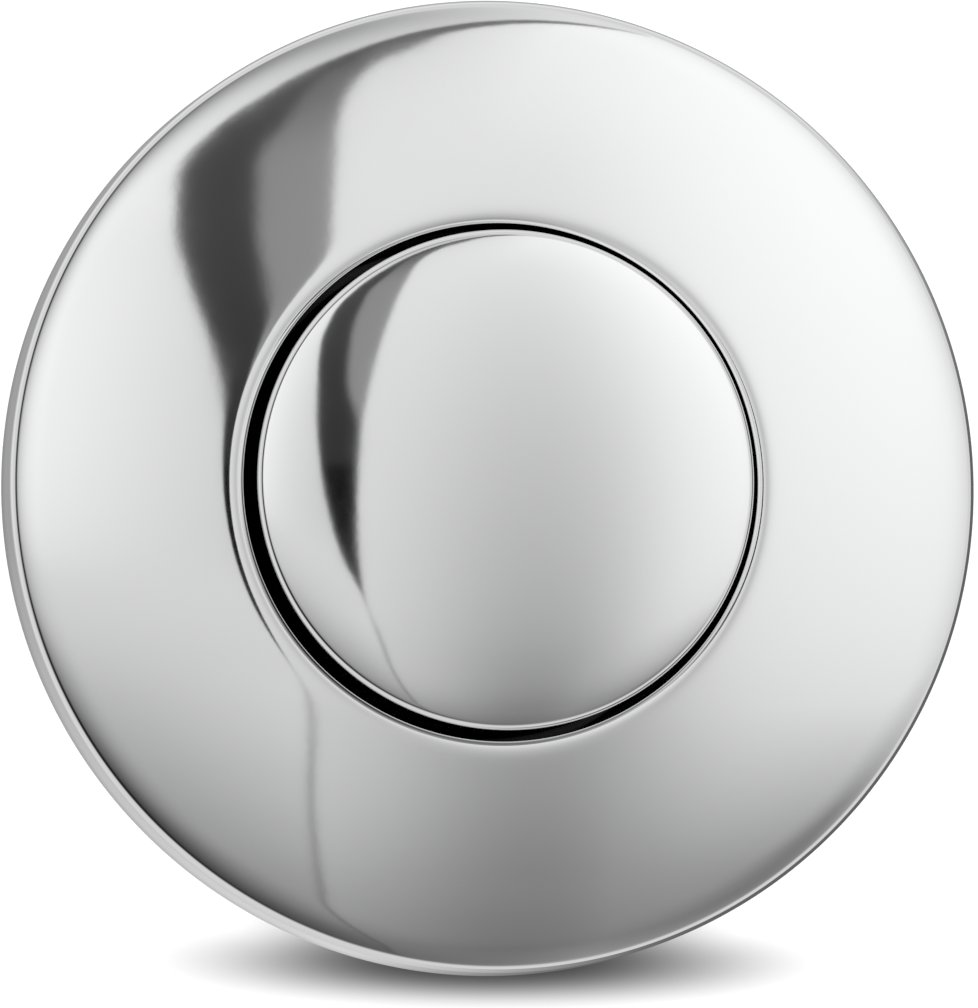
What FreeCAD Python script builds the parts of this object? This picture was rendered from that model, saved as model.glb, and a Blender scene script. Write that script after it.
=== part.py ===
import FreeCAD, Part
import math
import os
import re
import Sketcher

# A sink top air switch: a domed push button in a round escutcheon, whose stem squeezes a
# bellows below the sink top. Everything is turned about Z, with Z up along the button's axis.
# The sink top's upper face, where the gasket's underside lies, is at height 0.

DIMENSIONS = {
    # escutcheon
    "face_width": 11.25,        # from the escutcheon's bore to the outside of its wall
    "face_height": 4.14,        # where the dome would meet the wall, above the sink top
    "dome_radius": 80.0,        # sphere of the escutcheon's face
    "shell": 1.2,               # thickness of the wall and dome
    "face_round": 0.6,          # rounding between dome and wall
    "foot_lead": 0.25,          # chamfer on the feet of the wall and the neck
    "foot_gap": 0.25,           # between the wall's foot and the sink top
    "lip_round": 0.55,          # inner rounding of the rolled lip
    "lip_blend": 5.0,           # outer rounding of the lip, into the dome
    "neck_wall": 1.15,
    "neck_fit": 0.1,            # neck in the housing's collar
    "groove_play": 0.1,         # each side of a sealing ring, in its groove
    "face_cord": 1.1,           # section of the ring that grips the neck
    # button
    "button_radius": 12.3,
    "button_gap": 0.45,         # round the button, to the lip and the barrel's bore
    "button_proud": 3.26,       # crown's top above the lip
    "crown_overrun": 1.7,       # how far past the button the crown's ellipse would reach
    "crown_rise": 2.58,         # upright half axis of the crown's ellipse
    "cap_round": 0.5,
    "cap_wall": 0.9,
    "cap_crown": 1.1,           # thickness of the crown
    "skirt_length": 8.05,
    "travel": 5.0,
    "travel_room": 3.5,         # left under the pressed cap's skirt
    # plunger
    "head_play": 0.1,           # plunger's head in the cap
    "head_thick": 2.1,
    "head_skirt": 3.7,
    "head_wall": 2.0,
    "cap_cord": 1.0,            # section of the ring between head and cap
    "stem_reach": 3.2,          # tips of the cross, from the axis
    "stem_arm": 2.2,            # thickness of the cross's arms
    "stem_play": 0.08,          # cross in its guide
    "clip_groove": 2.3,         # radius left in the clip's groove
    "clip_thick": 0.8,
    "clip_width": 3.1,          # from the groove to the clip's outside
    "clip_mouth": 3.6,
    "clip_lug": 1.6,
    "bumper_thick": 1.0,
    "bumper_width": 2.8,
    # housing
    "gasket_thick": 2.0,
    "gasket_inset": 1.2,        # gasket inside the flange's edge
    "gasket_lead": 0.3,
    "flange_room": 0.8,         # flange's edge to the escutcheon's wall
    "dome_room": 0.3,           # flange's top to the dome's underside
    "collar_wall": 2.4,
    "collar_floor": 0.4,        # under the neck, above the flange's underside
    "barrel_wall": 1.5,
    "barrel_lead": 0.8,         # chamfer at the barrel's lower end
    "thread_pitch": 2.0,
    "thread_depth": 0.85,
    "thread_crest": 0.5,        # flat left on the thread's crests
    "thread_stop": 2.6,         # below the sink top's upper face
    "web_thick": 2.0,
    "bore_step": 0.95,          # where the barrel narrows round the bellows
    # guide bush and spring
    "bush_flange": 1.2,
    "bush_boss": 1.2,
    "bush_length": 5.0,         # below the web's top
    "bush_ledge": 2.0,          # bush's flange, past its barrel
    "bush_fit": 0.05,
    "coil_radius": 6.5,         # middle of the spring's wire
    "coil_ledge": 1.5,          # bush's flange, past the spring's outside
    "wire": 1.0,
    "coil_turns": 5.5,
    "coil_steps": 12,           # straight runs in a turn of the coil
    "coil_play": 0.3,           # spring round its centring bosses
    # bellows
    "cup_gap": 0.4,             # clip to the thrust cup
    "cup_socket": 2.4,
    "cup_wall": 1.7,
    "cup_thick": 1.4,
    "cup_rim": 0.6,             # past the bellows' top
    "cup_lead": 0.4,
    "bellows_wall": 0.8,
    "bellows_room": 1.6,        # crests to the barrel's bore
    "bellows_depth": 3.2,       # outside of the crests to inside of the roots
    "bellows_pitch": 4.0,
    "bellows_folds": 4,
    "ring_thick": 2.0,
    "ring_room": 0.6,           # clamping ring round the bellows' crests
    "ring_play": 0.1,           # foot, ring and plug in the barrel's end
    # end cap and barb
    "plug_length": 8.8,
    "plug_flange": 2.0,
    "plug_inset": 0.7,          # plug's flange inside the barrel's outside
    "plug_floor": 2.6,
    "plug_rim": 2.0,
    "plug_ribs": 6,
    "plug_rib": 1.2,
    "plug_hub": 5.2,
    "funnel_edge": 1.2,         # round the funnel in the plug's top, inside the bellows' foot
    "funnel_depth": 1.6,
    "plug_cord": 1.1,
    "barb_shank": 2.45,
    "barb_play": 0.05,
    "barb_depth": 6.0,
    "barb_bore": 0.9,
    "barb_stem": 1.6,
    "barb_crest": 2.15,
    "barb_pitch": 2.8,
    "barb_count": 3,
    "barb_neck": 2.4,
    "barb_hex": 4.0,            # across the flats, from the axis
    "barb_hex_height": 2.2,
    "barb_washer": 0.8,
    # nut and washers
    "counter_thick": 20.0,      # sink top that the nut holds in the rest position
    "washer_play": 0.35,
    "washer_width": 5.0,
    "rubber_thick": 2.0,
    "slip_thick": 1.2,
    "nut_play": 0.1,
    "nut_wall": 2.0,
    "nut_flange": 2.0,
    "nut_height": 8.0,
    "nut_skirt": 4.6,           # flange of the nut, past the barrel
    "nut_lead": 0.7,
}

doc = FreeCAD.newDocument("air_switch")
sheet = doc.addObject("Spreadsheet::Sheet", "Sizes")
for row, (alias, size) in enumerate(DIMENSIONS.items(), 1):
    sheet.set(f"A{row}", alias)
    sheet.set(f"B{row}", str(size))
    sheet.setAlias(f"B{row}", alias)
doc.recompute()

PIECES = []
TINY = 0.01


# Sums of sizes, as text for expressions

def bound(text):
    """Each size's name in a sum gets the sheet's name before it."""
    def full(word):
        return f"Sizes.{word.group()}" if word.group() in DIMENSIONS else word.group()
    return re.sub(r"[a-z_]+", full, str(text))


def value(text):
    """What a sum of sizes comes to, in millimetres."""
    return float(sheet.evalExpression(bound(text)))


def under(height, drop):
    return f"({height} - ({drop}))"


def sphere_height(radius, across):
    """Height of the escutcheon's dome, or of its underside, at a distance from the axis."""
    return f"({dome_centre} + sqrt(({radius})^2 - ({across})^2))"


# Bodies, sketches and features

def new_body(name):
    body = doc.addObject("PartDesign::Body", name)
    body.Label = name
    PIECES.append(body)
    return body


def new_sketch(body, name, plane, height=None):
    """A sketch on one of its body's origin planes, lifted to a height where one is given."""
    sketch = body.newObject("Sketcher::SketchObject", name)
    face = next(part for part in body.Origin.OriginFeatures if part.Role == plane)
    sketch.AttachmentSupport = [(face, "")]
    sketch.MapMode = "FlatFace"
    if height is not None:
        sketch.setExpression("AttachmentOffset.Base.z", bound(height))
    return sketch


def hold(sketch, *constraint, to=None):
    """Adds one constraint, bound to a sum of sizes where one is given."""
    if to is None:
        sketch.addConstraint(Sketcher.Constraint(*constraint))
        return
    index = sketch.addConstraint(Sketcher.Constraint(*constraint, value(to)))
    sketch.setExpression(f"Constraints[{index}]", bound(to))


def arc_between(start, end, radius):
    """The short arc from start to end. A positive radius turns left on the way there, and a
    negative one turns right."""
    chord = end - start
    side = FreeCAD.Vector(-chord.y, chord.x, 0).normalize()
    depth = math.sqrt(max(radius ** 2 - chord.Length ** 2 / 4, 0))
    centre = (start + end) / 2 + side * (depth if radius > 0 else -depth)
    angles = [math.atan2(point.y - centre.y, point.x - centre.x) for point in (start, end)]
    first, last = angles if radius > 0 else reversed(angles)
    circle = Part.Circle(centre, FreeCAD.Vector(0, 0, 1), abs(radius))
    return Part.ArcOfCircle(circle, first, last if last > first else last + 2 * math.pi)


def outline(sketch, points):
    """A closed outline. Each point is (across, up), with a third entry where an arc leads on from
    it: the arc's radius, and 'left' or 'right' for the way that it turns."""
    places = [FreeCAD.Vector(value(point[0]), value(point[1]), 0) for point in points]
    ends = []
    for number, point in enumerate(points):
        start, end = places[number], places[(number + 1) % len(points)]
        if len(point) == 2:
            edge = sketch.addGeometry(Part.LineSegment(start, end), False)
            ends.append((edge, 1, 2))
            continue
        radius, turn = point[2]
        signed = value(radius) if turn == "left" else -value(radius)
        edge = sketch.addGeometry(arc_between(start, end, signed), False)
        hold(sketch, "Radius", edge, to=radius)
        ends.append((edge, 1, 2) if turn == "left" else (edge, 2, 1))
    for number, (edge, first, last) in enumerate(ends):
        next_edge, next_first, _ = ends[(number + 1) % len(ends)]
        hold(sketch, "Coincident", edge, last, next_edge, next_first)
        hold(sketch, "DistanceX", -1, 1, edge, first, to=points[number][0])
        hold(sketch, "DistanceY", -1, 1, edge, first, to=points[number][1])


def spin(body, name, points, kind="Revolution"):
    """Turns an outline of (radius, height) points about Z, as material or as a cut."""
    sketch = new_sketch(body, f"{name}_outline", "XZ_Plane")
    outline(sketch, points)
    feature = body.newObject(f"PartDesign::{kind}", name)
    feature.Profile = sketch
    feature.ReferenceAxis = (sketch, ["V_Axis"])
    feature.Angle = 360
    doc.recompute()
    return feature


def pad(body, name, points, low, height):
    """Raises an outline in plan from one height by another."""
    sketch = new_sketch(body, f"{name}_outline", "XY_Plane", low)
    outline(sketch, points)
    feature = body.newObject("PartDesign::Pad", name)
    feature.Profile = sketch
    feature.setExpression("Length", bound(height))
    doc.recompute()
    return feature


def cut_up(body, name, points, low, height):
    """Cuts an outline in plan upwards from a height."""
    sketch = new_sketch(body, f"{name}_outline", "XY_Plane", low)
    outline(sketch, points)
    before = body.Shape.Volume
    feature = body.newObject("PartDesign::Pocket", name)
    feature.Profile = sketch
    feature.Reversed = True
    feature.setExpression("Length", bound(height))
    doc.recompute()
    if body.Shape.Volume >= before:
        raise RuntimeError(f"{body.Label}: {name} cuts nothing")
    return feature


def rings_at(shape, places):
    """Names of the turned edges that lie at each (radius, height)."""
    names = []
    for radius, height in places:
        across, up = value(radius), value(height)
        for number, edge in enumerate(shape.Edges, 1):
            box = edge.BoundBox
            flat = abs(box.ZMax - up) < TINY and abs(box.ZMin - up) < TINY
            if flat and abs(box.XMax - across) < TINY and abs(box.XMin + across) < TINY:
                names.append(f"Edge{number}")
    if len(names) < len(places):
        raise RuntimeError(f"an edge of {places} is missing")
    return names


def soften(body, name, size, places, kind="Chamfer"):
    """Chamfers or rounds the turned edges at each (radius, height)."""
    base = body.Tip
    feature = body.newObject(f"PartDesign::{kind}", name)
    feature.Base = (base, rings_at(base.Shape, places))
    feature.setExpression("Radius" if kind == "Fillet" else "Size", bound(size))
    doc.recompute()
    return feature


def repeat(body, name, feature, count):
    """Repeats a feature round Z."""
    pattern = body.newObject("PartDesign::PolarPattern", name)
    pattern.Originals = [feature]
    axis = next(part for part in body.Origin.OriginFeatures if part.Role == "Z_Axis")
    pattern.Axis = (axis, [""])
    pattern.Angle = 360
    pattern.setExpression("Occurrences", bound(count))
    body.Tip = pattern
    doc.recompute()
    return pattern


# Outlines that several pieces use

def tube(inner, outer, low, high):
    return [(inner, low), (outer, low), (outer, high), (inner, high)]


def plate(left, right, half):
    """A rectangle in plan, centred on the X axis."""
    return [(left, f"-({half})"), (right, f"-({half})"), (right, half), (left, half)]


def hexagon(flat):
    """A hexagon in plan, with its flats at a distance from the axis and two corners on X."""
    half = f"({flat}) * tan(30)"
    return [(f"2 * {half}", "0"), (half, flat), (f"-{half}", flat),
            (f"-2 * {half}", "0"), (f"-{half}", f"-({flat})"), (half, f"-({flat})")]


def cross(tip, half):
    """A cross in plan, from the reach of its tips and half the thickness of its arms."""
    less_half, less_tip = f"-({half})", f"-({tip})"
    return [(tip, less_half), (tip, half), (half, half), (half, tip), (less_half, tip),
            (less_half, half), (less_tip, half), (less_tip, less_half),
            (less_half, less_half), (less_half, less_tip), (half, less_tip), (half, less_half)]


def ring_seal(name, inner, outer, height, section):
    """A square-cut rubber ring in its groove, from the height of its middle."""
    body = new_body(name)
    spin(body, "ring", tube(inner, outer, f"{height} - {section} / 2", f"{height} + {section} / 2"))
    return body


def groove(body, name, inner, outer, height, section):
    """A groove for such a ring, a little wider than the ring is."""
    return spin(body, name, tube(
        inner, outer, f"{height} - {section} / 2 - groove_play", f"{height} + {section} / 2 + groove_play"),
        "Groove")


# Levels and radii that more than one piece takes its place from

bore = "(button_radius + button_gap)"
neck_radius = f"({bore} + neck_wall)"
collar_bore = f"({neck_radius} + neck_fit)"
collar_radius = f"({collar_bore} + collar_wall)"
face_radius = f"({bore} + face_width)"
inner_wall = f"({face_radius} - shell)"
flange_radius = f"({inner_wall} - flange_room)"
barrel_radius = f"({bore} + barrel_wall)"
end_radius = f"({bore} - ring_play)"

dome_centre = f"(face_height - sqrt(dome_radius^2 - {face_radius}^2))"
lip_radius = f"({bore} + lip_round)"
lip_height = f"({dome_centre} + lip_blend + sqrt((dome_radius - lip_blend)^2 - {lip_radius}^2))"
neck_foot = "(gasket_thick + collar_floor)"
flange_top = under(sphere_height("dome_radius - shell", flange_radius), "dome_room")
collar_top = under(sphere_height("dome_radius - shell", collar_radius), "dome_room")
face_ring_height = f"(({neck_foot} + {collar_top}) / 2)"

crown_top = f"({lip_height} + button_proud)"
crown_reach = "(button_radius + crown_overrun)"
crown_middle = under(crown_top, "crown_rise")
cap_edge = f"({crown_middle} + crown_rise * sqrt(1 - (button_radius / {crown_reach})^2))"
cap_inside = "(button_radius - cap_wall)"
cap_shoulder = under(cap_edge, "cap_crown")
skirt_foot = under(cap_edge, "skirt_length")

head_radius = f"({cap_inside} - head_play)"
head_top = under(cap_shoulder, "head_play")
head_under = under(head_top, "head_thick")
web_top = under(skirt_foot, "travel + travel_room")
web_under = under(web_top, "web_thick")
bush_under = under(web_top, "bush_length")
bumper_under = under(bush_under, "bumper_thick")
clip_under = under(bumper_under, "clip_thick")
cup_top = under(clip_under, "cup_gap")
stem_end = under(cup_top, "cup_socket")
cup_under = under(stem_end, "cup_thick")
boss_radius = "(coil_radius - wire / 2 - coil_play)"
bush_flange_radius = "(coil_radius + wire / 2 + coil_ledge)"
bush_radius = f"({bush_flange_radius} - bush_ledge)"
socket_radius = "(sqrt(stem_reach^2 + (stem_arm / 2)^2) + stem_play)"

lower_bore = f"({bore} - bore_step)"
bellows_crest = f"({lower_bore} - bellows_room)"
bellows_root = f"({bellows_crest} - bellows_depth)"
bellows_top = f"({bellows_root} + bellows_wall)"
cup_radius = f"({bellows_top} + cup_rim)"
foot_top = under(cup_under, "bellows_pitch * bellows_folds")
plug_top = under(foot_top, "bellows_wall")
ring_top = f"({foot_top} + ring_thick)"
barrel_end = under(plug_top, "plug_length")
plug_under = under(barrel_end, "plug_flange")
washer_top = "-counter_thick"
slip_top = under(washer_top, "rubber_thick")
nut_top = under(slip_top, "slip_thick")
nut_under = under(nut_top, "nut_height")


# Escutcheon: a drawn shell with a domed face, a turned-down wall, and a lip rolled in to a neck

escutcheon = new_body("escutcheon")
round_reach = f"({face_radius} - face_round)"
wall_top = f"({dome_centre} + sqrt((dome_radius - face_round)^2 - {round_reach}^2))"
edge_reach = f"({round_reach} * dome_radius / (dome_radius - face_round))"
blend_reach = f"({lip_radius} * dome_radius / (dome_radius - lip_blend))"
spin(escutcheon, "shell", [
    (face_radius, "foot_gap"),
    (face_radius, wall_top, ("face_round", "left")),
    (edge_reach, sphere_height("dome_radius", edge_reach), ("dome_radius", "left")),
    (blend_reach, sphere_height("dome_radius", blend_reach), ("lip_blend", "left")),
    (lip_radius, lip_height, ("lip_round", "left")),
    (bore, under(lip_height, "lip_round")),
    (bore, neck_foot),
    (neck_radius, neck_foot),
    (neck_radius, sphere_height("dome_radius - shell", neck_radius)),
    (inner_wall, sphere_height("dome_radius - shell", inner_wall)),
    (inner_wall, "foot_gap"),
])
soften(escutcheon, "foot_lead", "foot_lead", [(face_radius, "foot_gap"), (neck_radius, neck_foot)])


# Housing: one moulding, with a flange that follows the dome, a collar for the escutcheon's neck,
# a barrel, a web for the guide bush, and a wider bore at the end for the bellows' foot and the plug

housing = new_body("housing")
spin(housing, "moulding", [
    (barrel_radius, barrel_end),
    (barrel_radius, "gasket_thick"),
    (flange_radius, "gasket_thick"),
    (flange_radius, flange_top),
    (collar_radius, collar_top),
    (collar_bore, collar_top),
    (collar_bore, neck_foot),
    (bore, neck_foot),
    (bore, web_top),
    (bush_radius, web_top),
    (bush_radius, web_under),
    (lower_bore, web_under),
    (lower_bore, ring_top),
    (bore, ring_top),
    (bore, barrel_end),
])
face_groove = f"({neck_radius} + face_cord)"
groove(housing, "neck_ring_groove", bore, face_groove, face_ring_height, "face_cord")
soften(housing, "barrel_lead", "barrel_lead", [(barrel_radius, barrel_end)])

# The barrel's thread: a groove with 60 degree flanks and a flat root, wound up from below its end
thread_foot = under(barrel_end, "thread_pitch")
thread_mouth = "((thread_pitch - thread_crest) / 2 + nut_play * tan(30))"
thread_root = "((thread_pitch - thread_crest) / 2 - thread_depth * tan(30))"
thread_cut = new_sketch(housing, "thread_outline", "XZ_Plane")
outline(thread_cut, [
    (f"{barrel_radius} - thread_depth", f"{thread_foot} - {thread_root}"),
    (f"{barrel_radius} + nut_play", f"{thread_foot} - {thread_mouth}"),
    (f"{barrel_radius} + nut_play", f"{thread_foot} + {thread_mouth}"),
    (f"{barrel_radius} - thread_depth", f"{thread_foot} + {thread_root}"),
])
thread = housing.newObject("PartDesign::SubtractiveHelix", "thread")
thread.Profile = thread_cut
thread.ReferenceAxis = (thread_cut, ["V_Axis"])
thread.Mode = "pitch-height-angle"
thread.setExpression("Pitch", bound("thread_pitch"))
thread.setExpression("Height", bound(f"-thread_stop - {thread_foot}"))
doc.recompute()

ring_seal("escutcheon_ring", neck_radius, face_groove, face_ring_height, "face_cord")


# Gasket between the flange and the sink top

deck_gasket = new_body("deck_gasket")
gasket_radius = f"({flange_radius} - gasket_inset)"
spin(deck_gasket, "ring", tube(f"{barrel_radius} + washer_play", gasket_radius, "0", "gasket_thick"))
soften(deck_gasket, "edge_lead", "gasket_lead", [(gasket_radius, "0")])


# Button cap: a drawn cap, whose crown is part of an ellipse turned about Z

button_cap = new_body("button_cap")
crown = new_sketch(button_cap, "crown_outline", "XZ_Plane")
reach, rise, middle = value(crown_reach), value("crown_rise"), value(crown_middle)
ellipse = Part.Ellipse(FreeCAD.Vector(reach, middle, 0), FreeCAD.Vector(0, middle + rise, 0),
                       FreeCAD.Vector(0, middle, 0))
edge_angle = math.acos(value("button_radius") / reach)
arc = crown.addGeometry(Part.ArcOfEllipse(ellipse, edge_angle, math.pi / 2), False)
crown.exposeInternalGeometry(arc)
hold(crown, "PointOnObject", arc, 3, -2)
hold(crown, "DistanceY", -1, 1, arc, 3, to=crown_middle)
hold(crown, "Horizontal", arc + 1)
hold(crown, "Distance", arc + 1, to=f"2 * {crown_reach}")
hold(crown, "Distance", arc + 2, to="2 * crown_rise")
hold(crown, "PointOnObject", arc, 2, -2)
hold(crown, "DistanceX", -1, 1, arc, 1, to="button_radius")
corners = [("button_radius", cap_edge), ("button_radius", skirt_foot), (cap_inside, skirt_foot),
           (cap_inside, cap_shoulder), ("0", under(crown_top, "cap_crown")), ("0", crown_top)]
places = [FreeCAD.Vector(value(across), value(up), 0) for across, up in corners]
skirt = crown.addGeometry(Part.LineSegment(places[0], places[1]), False)
foot = crown.addGeometry(Part.LineSegment(places[1], places[2]), False)
inside = crown.addGeometry(Part.LineSegment(places[2], places[3]), False)
roof = crown.addGeometry(Part.LineSegment(places[3], places[4]), False)
axis = crown.addGeometry(Part.LineSegment(places[4], places[5]), False)
for edge, following in ((skirt, foot), (foot, inside), (inside, roof), (roof, axis)):
    hold(crown, "Coincident", edge, 2, following, 1)
hold(crown, "Coincident", arc, 1, skirt, 1)
hold(crown, "Coincident", axis, 2, arc, 2)
hold(crown, "Vertical", skirt)
hold(crown, "Horizontal", foot)
hold(crown, "Vertical", inside)
hold(crown, "DistanceY", -1, 1, foot, 1, to=skirt_foot)
hold(crown, "DistanceX", -1, 1, inside, 1, to=cap_inside)
hold(crown, "DistanceY", -1, 1, inside, 2, to=cap_shoulder)
hold(crown, "PointOnObject", axis, 1, -2)
hold(crown, "DistanceY", -1, 1, axis, 1, to=corners[4][1])
cap = button_cap.newObject("PartDesign::Revolution", "cap")
cap.Profile = crown
cap.ReferenceAxis = (crown, ["V_Axis"])
cap.Angle = 360
doc.recompute()
soften(button_cap, "edge_rounding", "cap_round", [("button_radius", cap_edge)], "Fillet")


# Plunger: a moulded cup under the cap, with a cross-shaped stem that its guide keeps from turning

plunger = new_body("plunger")
head_foot = under(head_under, "head_skirt")
cap_ring_height = under(head_under, "head_skirt / 3")
spin(plunger, "head", [
    ("0", under(head_under, "bush_boss")),
    (boss_radius, under(head_under, "bush_boss")),
    (boss_radius, head_under),
    (f"{head_radius} - head_wall", head_under),
    (f"{head_radius} - head_wall", head_foot),
    (head_radius, head_foot),
    (head_radius, head_top),
    ("0", head_top),
])
cap_groove = f"({cap_inside} - cap_cord)"
groove(plunger, "cap_ring_groove", cap_groove, cap_inside, cap_ring_height, "cap_cord")
pad(plunger, "stem", cross("stem_reach", "stem_arm / 2"), stem_end, f"{head_under} - {stem_end}")
spin(plunger, "clip_groove", tube("clip_groove", "stem_reach + clip_groove", clip_under, bumper_under),
     "Groove")

ring_seal("cap_ring", cap_groove, cap_inside, cap_ring_height, "cap_cord")


# Guide bush: pressed in the web, with a cross-shaped hole and a boss that centres the spring

guide_bush = new_body("guide_bush")
flange_face = f"({web_top} + bush_flange)"
spin(guide_bush, "bush", [
    ("0", bush_under),
    (f"{bush_radius} - bush_fit", bush_under),
    (f"{bush_radius} - bush_fit", web_top),
    (bush_flange_radius, web_top),
    (bush_flange_radius, flange_face),
    (boss_radius, flange_face),
    (boss_radius, f"{flange_face} + bush_boss"),
    ("0", f"{flange_face} + bush_boss"),
])
cut_up(guide_bush, "stem_hole", cross("stem_reach + stem_play", "stem_arm / 2 + stem_play"),
       bush_under, "bush_length + bush_flange + bush_boss")


# Return spring: round wire wound between the guide bush and the plunger's head, in short straight
# runs that are mitred where they meet

return_spring = doc.addObject("Part::Feature", "return_spring")
return_spring.Label = "return_spring"
PIECES.append(return_spring)
coil, wire, turns = value("coil_radius"), value("wire"), value("coil_turns")
coil_foot = value(f"{flange_face} + wire / 2")
coil_rise = value(f"{head_under} - {flange_face} - wire")
steps = round(turns * DIMENSIONS["coil_steps"])
wire_line = []
for step in range(steps + 1):
    angle = 2 * math.pi * turns * step / steps
    wire_line.append(FreeCAD.Vector(
        coil * math.cos(angle), coil * math.sin(angle), coil_foot + coil_rise * step / steps))
wire_end = Part.Circle(wire_line[0], wire_line[1] - wire_line[0], wire / 2)
return_spring.Shape = Part.makePolygon(wire_line).makePipeShell(
    [Part.Wire(wire_end.toShape())], True, False, 1)


# Stop washer and retaining clip: they end the upward travel under the guide bush

stop_washer = new_body("stop_washer")
spin(stop_washer, "ring", tube(
    socket_radius, "stem_reach + bumper_width", bumper_under, bush_under))

retaining_clip = new_body("retaining_clip")
clip_radius = "(clip_groove + clip_width)"
clip_relief = "(clip_groove + clip_width / 2)"
spin(retaining_clip, "ring", tube(clip_relief, clip_radius, clip_under, bumper_under))
cut_up(retaining_clip, "mouth",
       plate("0", f"2 * {clip_radius}", "clip_mouth / 2"), clip_under, "clip_thick")
lug = pad(retaining_clip, "lug",
          plate(f"-{clip_relief} - clip_width / 4", "-clip_groove - bush_fit", "clip_lug / 2"),
          clip_under, "clip_thick")
repeat(retaining_clip, "lugs", lug, 3)


# Thrust cup: pressed on the stem's end, it spreads the push over the bellows' top

thrust_cup = new_body("thrust_cup")
spin(thrust_cup, "cup", [
    ("0", cup_under),
    (cup_radius, cup_under),
    (cup_radius, stem_end),
    (f"{socket_radius} + cup_wall", stem_end),
    (f"{socket_radius} + cup_wall", cup_top),
    (socket_radius, cup_top),
    (socket_radius, stem_end),
    ("0", stem_end),
])
soften(thrust_cup, "edge_lead", "cup_lead", [(cup_radius, cup_under)])


# Bellows: moulded rubber, closed on top, with sharp folds and a flat foot. Each fold runs out to a
# crest and back in to a root, and the inner face follows the outer one at a wall's thickness.

bellows = new_body("bellows")
outer_face, inner_face = [], []
for number in range(DIMENSIONS["bellows_folds"]):
    outer_face += [
        (bellows_top, f"{cup_under} - bellows_pitch * {number}"),
        (bellows_crest, f"{cup_under} - bellows_pitch * {number + 0.5}"),
    ]
    inner_face += [
        (bellows_root, f"{foot_top} + bellows_pitch * {number}"),
        (f"{bellows_crest} - bellows_wall", f"{foot_top} + bellows_pitch * {number + 0.5}"),
    ]
spin(bellows, "wall", [("0", cup_under)] + outer_face + [
    (bellows_top, foot_top),
    (end_radius, foot_top),
    (end_radius, plug_top),
    (bellows_root, plug_top),
] + inner_face + [
    (bellows_root, f"{cup_under} - bellows_wall"),
    ("0", f"{cup_under} - bellows_wall"),
])


# Bellows ring: clamps the bellows' foot between the barrel's step and the plug

bellows_ring = new_body("bellows_ring")
spin(bellows_ring, "ring", tube(f"{bellows_crest} + ring_room", end_radius, foot_top, ring_top))


# End cap: a plug with a cored underside, ribs and a hub for the hose barb

end_cap = new_body("end_cap")
hub_bore = "(barb_shank + barb_play)"
plug_radius = f"({barrel_radius} - plug_inset)"
core_radius = f"({end_radius} - plug_cord - plug_rim)"
spin(end_cap, "plug", [
    (hub_bore, plug_under),
    ("plug_hub", plug_under),
    ("plug_hub", f"{plug_top} - plug_floor"),
    (core_radius, f"{plug_top} - plug_floor"),
    (core_radius, plug_under),
    (plug_radius, plug_under),
    (plug_radius, barrel_end),
    (end_radius, barrel_end),
    (end_radius, plug_top),
    (f"{bellows_root} - funnel_edge", plug_top),
    (hub_bore, f"{plug_top} - funnel_depth"),
])
plug_groove = f"({bore} - plug_cord)"
plug_ring_height = f"(({plug_top} + {barrel_end}) / 2)"
groove(end_cap, "plug_ring_groove", plug_groove, bore, plug_ring_height, "plug_cord")
rib = pad(end_cap, "rib", plate("plug_hub - plug_rib / 2", f"{core_radius} + plug_rib / 2", "plug_rib / 2"),
          barrel_end, f"{plug_top} - plug_floor - {barrel_end}")
repeat(end_cap, "ribs", rib, "plug_ribs")

ring_seal("end_cap_ring", plug_groove, bore, plug_ring_height, "plug_cord")


# Hose barb: turned brass, with a shank in the plug's hub, a hexagon, and barbs for the air tube

hose_barb = new_body("hose_barb")
hex_top = under(plug_under, "barb_washer")
hex_under = under(hex_top, "barb_hex_height")
stem_top = under(hex_under, "barb_neck")
barb_tip = under(stem_top, "barb_pitch * barb_count")
barbs = []
for number in range(DIMENSIONS["barb_count"]):
    barb_foot = f"({barb_tip} + barb_pitch * {number})"
    barbs += [("barb_stem", barb_foot), ("barb_crest", f"({barb_foot} + barb_pitch)")]
shank_top = f"({plug_under} + barb_depth)"
spin(hose_barb, "turned", [("barb_bore", barb_tip)] + barbs + [
    ("barb_stem", stem_top),
    ("barb_stem", hex_top),
    ("barb_shank", hex_top),
    ("barb_shank", shank_top),
    ("barb_bore", shank_top),
])
pad(hose_barb, "hexagon", hexagon("barb_hex"), hex_under, "barb_hex_height")
hex_corner = "(barb_hex / cos(30))"
spin(hose_barb, "hexagon_lead", [
    ("barb_hex", hex_under),
    (f"{hex_corner} + barb_play", hex_under),
    (f"{hex_corner} + barb_play", f"{hex_under} + ({hex_corner} + barb_play - barb_hex) * tan(30)"),
], "Groove")

barb_seal = new_body("barb_seal")
spin(barb_seal, "ring", tube(hub_bore, "barb_hex", hex_top, plug_under))


# Washers under the sink top: rubber against the sink top, and a plain one for the nut to turn on

washer_bore = f"({barrel_radius} + washer_play)"
washer_radius = f"({barrel_radius} + washer_width)"
clamp_washer = new_body("clamp_washer")
spin(clamp_washer, "ring", tube(washer_bore, washer_radius, slip_top, washer_top))
slip_washer = new_body("slip_washer")
spin(slip_washer, "ring", tube(washer_bore, washer_radius, nut_top, slip_top))


# Lock nut: moulded, with a round flange on top and a hexagon for a spanner

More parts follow.
